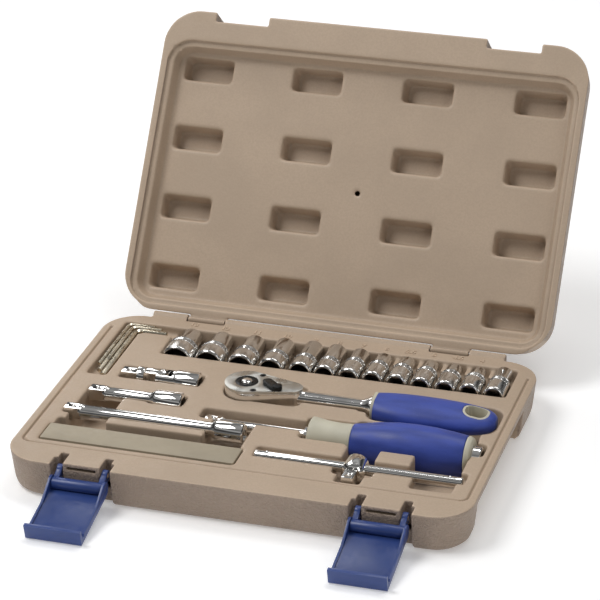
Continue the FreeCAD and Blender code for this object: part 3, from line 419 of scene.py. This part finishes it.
def vent_plugs(mesh):
    """Closes the blow holes, so that the remesh sees one closed skin."""
    made = bmesh.new()
    made.from_mesh(mesh)
    radius = 2.0 * MM
    for x, y in BLOW_HOLES:
        place = Matrix.Translation(Vector((x, y, 1.1)) * MM)
        bmesh.ops.create_cone(made, cap_ends=True, segments=24, radius1=radius,
                              radius2=radius, depth=1.2 * MM, matrix=place)
    made.to_mesh(mesh)
    made.free()


def softened(node, turn):
    """Remeshed shell without its inner skin, its edges rounded by smoothing."""
    mesh = welded(node)
    mesh.transform(turn)
    if node == "base_shell":
        vent_plugs(mesh)
    voxel = VOXEL
    mesh = modified(mesh, ("REMESH", {"mode": "VOXEL", "voxel_size": voxel}))
    mesh = outer_skin(mesh)
    weights = [softness(vertex.co) for vertex in mesh.vertices]
    smooth = {"factor": 0.5, "iterations": 26, "vertex_group": "soft"}
    thin = {"ratio": 0.45}
    mesh = modified(mesh, ("GROUP", weights), ("SMOOTH", smooth), ("DECIMATE", thin))
    if node == "lid_shell":
        fill_rear_rim(mesh)
    else:
        press_groove(mesh)
    mesh.transform(turn.inverted())
    for polygon in mesh.polygons:
        polygon.use_smooth = True
    return mesh


def mark_grain(mesh, turn, up):
    """Gives the walls and outer face the pebbled material, with its painted shade, slot 1."""
    spin = turn.to_3x3()
    for polygon in mesh.polygons:
        centre = turn @ polygon.center
        inside = abs(centre.x) < 122.8 * MM and -72.0 * MM < centre.y < 86.5 * MM
        facing = (spin @ polygon.normal).z * up
        if facing < 0.5 and not (inside and facing > -0.8):
            polygon.material_index = 1


def make_case():
    pair = [MATERIALS["case_shell"], MATERIALS["case_grain"]]
    for node, turn, up in (("base_shell", Matrix.Identity(4), 1.0), ("lid_shell", TO_SHUT, -1.0)):
        mesh = softened(node, turn)
        add_piece(node + "_soft", mesh, node, pair)
        mark_grain(mesh, turn, up)


def make_size_marks():
    """Raised socket sizes along the tray's rear ledge."""
    for node in sorted(frame["nodes"]):
        if not node.startswith("socket_"):
            continue
        low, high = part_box(node)
        text = bpy.data.curves.new("mark_" + node, "FONT")
        text.body = node[len("socket_"):].replace("_", ".")
        text.size = MARK_SIZE
        text.align_x = text.align_y = "CENTER"
        text.extrude = MARK_HIGH
        text.bevel_depth = 0.12 * MM
        text.bevel_resolution = 1
        holder = bpy.data.objects.new("mark_" + node, text)
        bpy.context.scene.collection.objects.link(holder)
        mesh = applied(holder)
        middle = (low.x + high.x) / 2 - 1.2 * MM
        mesh.transform(Matrix.Translation(Vector((middle, MARK_Y, RIM + 0.02 * MM))))
        piece = bpy.data.objects.new("size_mark_" + node[len("socket_"):], mesh)
        bpy.context.scene.collection.objects.link(piece)
        mesh.materials.clear()
        mesh.materials.append(MATERIALS["case_shell"])
        finish_mesh(mesh)
        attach(piece, "base")


# ---------------------------------------------------------------- sockets
RING = 96               # points round a socket: every corner of a bore is one of them
KNURL_DEPTH = 0.26
DRIVE_MOUTH, DRIVE_BORE = 4.75, 6.47            # chamfer radius, width across flats


def ring_radius(kind, size, index, row):
    """Radius of a ring's point: circle by radius, polygon by flats, knurl by crest."""
    if kind == "circle":
        return size
    if kind == "knurl":
        return size - KNURL_DEPTH * ((index // 2 + row) % 2)
    sides = {"hex": 6, "square": 4}[kind]
    step = 2 * math.pi / sides
    angle = (2 * math.pi * index / RING + step / 2) % step - step / 2
    return size / 2 / math.cos(angle)


def ringed(name, rings, place):
    """Closed solid through a loop of rings (distance, kind, size) in millimetres."""
    points = []
    for row, (distance, kind, size) in enumerate(rings):
        for index in range(RING):
            angle = 2 * math.pi * index / RING
            radius = ring_radius(kind, size, index, row)
            x, y = radius * math.cos(angle), radius * math.sin(angle)
            points.append(Vector((x, y, distance)) * MM)
    faces = []
    for row in range(len(rings)):
        after = (row + 1) % len(rings)
        for index in range(RING):
            beside = (index + 1) % RING
            low, high = row * RING, after * RING
            faces.append((low + index, low + beside, high + beside, high + index))
    mesh = bpy.data.meshes.new(name)
    mesh.from_pydata(points, [], faces)
    mesh.transform(place)
    mesh.validate()
    finish_mesh(mesh, 30.0)
    return mesh


ALONG_Y = Matrix.Rotation(math.radians(-90), 4, "X")


def socket_shape(node):
    """Radii and shoulder of a socket, read from its CAD node in millimetres."""
    low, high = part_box(node)
    middle = (low + high) / 2
    points = []
    for vertex in frame["nodes"][node].data.vertices:
        offset = vertex.co - middle
        points.append(((vertex.co.y - low.y) / MM, math.hypot(offset.x, offset.z) / MM))
    length = (high.y - low.y) / MM
    big = (high.x - low.x) / MM / 2
    small = max(r for t, r in points if length - 3.0 < t < length - 0.3)
    shoulder = max(t for t, r in points if r > big - 0.05)
    return Vector((middle.x, low.y, middle.z)), length, big, small, shoulder


def socket_body(big, small, shoulder, length):
    """Outside of a socket from its front face to its rear face."""
    band = shoulder - 3.6
    rings = [(0.0, "circle", big - 1.0), (0.25, "circle", big - 0.55), (0.9, "circle", big - 0.08)]
    rings += [(1.3, "circle", big), (band - 0.5, "circle", big), (band - 0.25, "circle", big - 0.3)]
    rings.append((band, "circle", big - 0.3))
    rings += [(band + 0.15 + 0.42 * k, "knurl", big - 0.02) for k in range(7)]
    rings += [(band + 2.8, "circle", big - 0.3), (band + 3.1, "circle", big - 0.3)]
    rings += [(band + 3.3, "circle", big), (shoulder, "circle", big)]
    rings.append((shoulder + 0.35, "circle", big - 0.3))
    drop = big - small
    if drop > 0.4:
        rings += [(shoulder + 1.2, "circle", big - 0.45), (shoulder + 1.9, "circle", big - 0.65 * drop)]
    rings += [(shoulder + 2.6, "circle", small), (length - 0.9, "circle", small)]
    rings += [(length - 0.3, "circle", small - 0.25), (length, "circle", small - 0.7)]
    return rings


def make_socket(node):
    """A socket with a knurled band, chamfered mouths and both bores."""
    place, length, big, small, shoulder = socket_shape(node)
    rings = socket_body(big, small, shoulder, length)
    if node == "bit_adapter":
        size, drive_front = 6.35, True
    else:
        size = float(node[len("socket_"):].replace("_", "."))
        drive_front = size < 7.5
    corner = size / math.sqrt(3)
    hex_depth = 11.0 if node == "bit_adapter" else length - 15.0
    throat = min(size, 6.35) / 2 - 0.4
    hex_end = [(0.0, "circle", corner + 0.15), (0.9, "hex", size + 0.1), (hex_depth, "hex", size + 0.1)]
    hex_end.append((hex_depth + 0.4, "circle", throat))
    drive_end = [(0.0, "circle", DRIVE_MOUTH)]
    drive_end += [(0.7, "square", DRIVE_BORE), (10.5, "square", DRIVE_BORE)]
    drive_end.append((10.8, "circle", throat))
    front, rear = (drive_end, hex_end) if drive_front else (hex_end, drive_end)
    rings += [(length - t, kind, radius) for t, kind, radius in rear]
    rings += [(t, kind, radius) for t, kind, radius in reversed(front)]
    mesh = ringed(node, rings, Matrix.Translation(place) @ ALONG_Y)
    pair = [MATERIALS["socket_chrome"], MATERIALS["bore_steel"]]
    piece = add_piece(node + "_piece", mesh, node, pair)
    bore_from = (len(rings) - len(front) - len(rear)) * RING
    for polygon in piece.data.polygons:
        if polygon.index >= bore_from:
            polygon.material_index = 1


# ---------------------------------------------------------------- stage
def add_stage():
    mesh = bpy.data.meshes.new("floor")
    half = 6.0
    corners = [(-half, -half, 0), (half, -half, 0), (half, half, 0), (-half, half, 0)]
    mesh.from_pydata(corners, [], [(0, 1, 2, 3)])
    floor = bpy.data.objects.new("floor", mesh)
    finish = Finish("floor_paper", (0.90, 0.90, 0.90), roughness=0.7)
    finish.shader.inputs["Emission Color"].default_value = (1.0, 1.0, 1.0, 1.0)
    finish.shader.inputs["Emission Strength"].default_value = 0.25
    tone = finish.noise(1.5, 3.0)
    finish.color(finish.blend(tone, (0.88, 0.88, 0.88), (0.92, 0.92, 0.92)))
    mesh.materials.append(finish.material)
    bpy.context.scene.collection.objects.link(floor)


def add_light(name, place, aim, size, watts):
    data = bpy.data.lights.new(name, "AREA")
    data.shape = "RECTANGLE"
    data.size, data.size_y = size
    data.energy = watts
    light = bpy.data.objects.new(name, data)
    light.location = place
    light.rotation_euler = (Vector(aim) - Vector(place)).to_track_quat("-Z", "Y").to_euler()
    bpy.context.scene.collection.objects.link(light)


def add_lights():
    world = bpy.data.worlds.new("studio")
    world.use_nodes = True
    tree = world.node_tree
    back = tree.nodes["Background"]
    place = tree.nodes.new("ShaderNodeTexCoord")
    split = tree.nodes.new("ShaderNodeSeparateXYZ")
    ramp = tree.nodes.new("ShaderNodeValToRGB")
    tree.links.new(place.outputs["Generated"], split.inputs["Vector"])
    tree.links.new(split.outputs["Z"], ramp.inputs["Fac"])
    tree.links.new(ramp.outputs["Color"], back.inputs["Color"])
    stops = ramp.color_ramp.elements
    stops[0].position, stops[0].color = 0.0, (0.10, 0.10, 0.10, 1)
    stops[1].position, stops[1].color = 1.0, (0.30, 0.30, 0.30, 1)
    for position, grey in ((0.2, 0.16), (0.32, 0.03), (0.45, 0.05), (0.6, 0.42), (0.75, 0.12)):
        stops.new(position).color = (grey, grey, grey, 1)
    back.inputs["Strength"].default_value = 1.0
    bpy.context.scene.world = world
    add_light("key", (-0.9, -0.3, 1.6), (0, 0, 0), (0.8, 0.8), 17)
    add_light("fill", (1.2, -1.2, 0.7), (0, 0, 0), (0.5, 0.9), 3)
    add_light("top", (0.3, 0.6, 1.7), (0, 0.05, 0), (1.2, 0.4), 9)
    add_light("back", (-0.9, 1.2, 0.9), (0, 0.1, 0), (0.6, 0.6), 4)


# ---------------------------------------------------------------- build
BEVELS = {"latch_plastic": 0.7, "core_plastic": 0.4, "grip_plastic": 0.4, "holder_plastic": 0.4}

add_camera()
MATERIALS = make_materials()
make_case()
make_size_marks()
for node in sorted(frame["nodes"]):
    if node in ("base_shell", "lid_shell"):
        continue
    if node.startswith("socket_") or node == "bit_adapter":
        make_socket(node)
    else:
        refine(node, BEVELS.get(SLOTS[node], 0.22), [MATERIALS[SLOTS[node]]])
add_stage()
add_lights()
bpy.context.scene.view_settings.view_transform = "Standard"
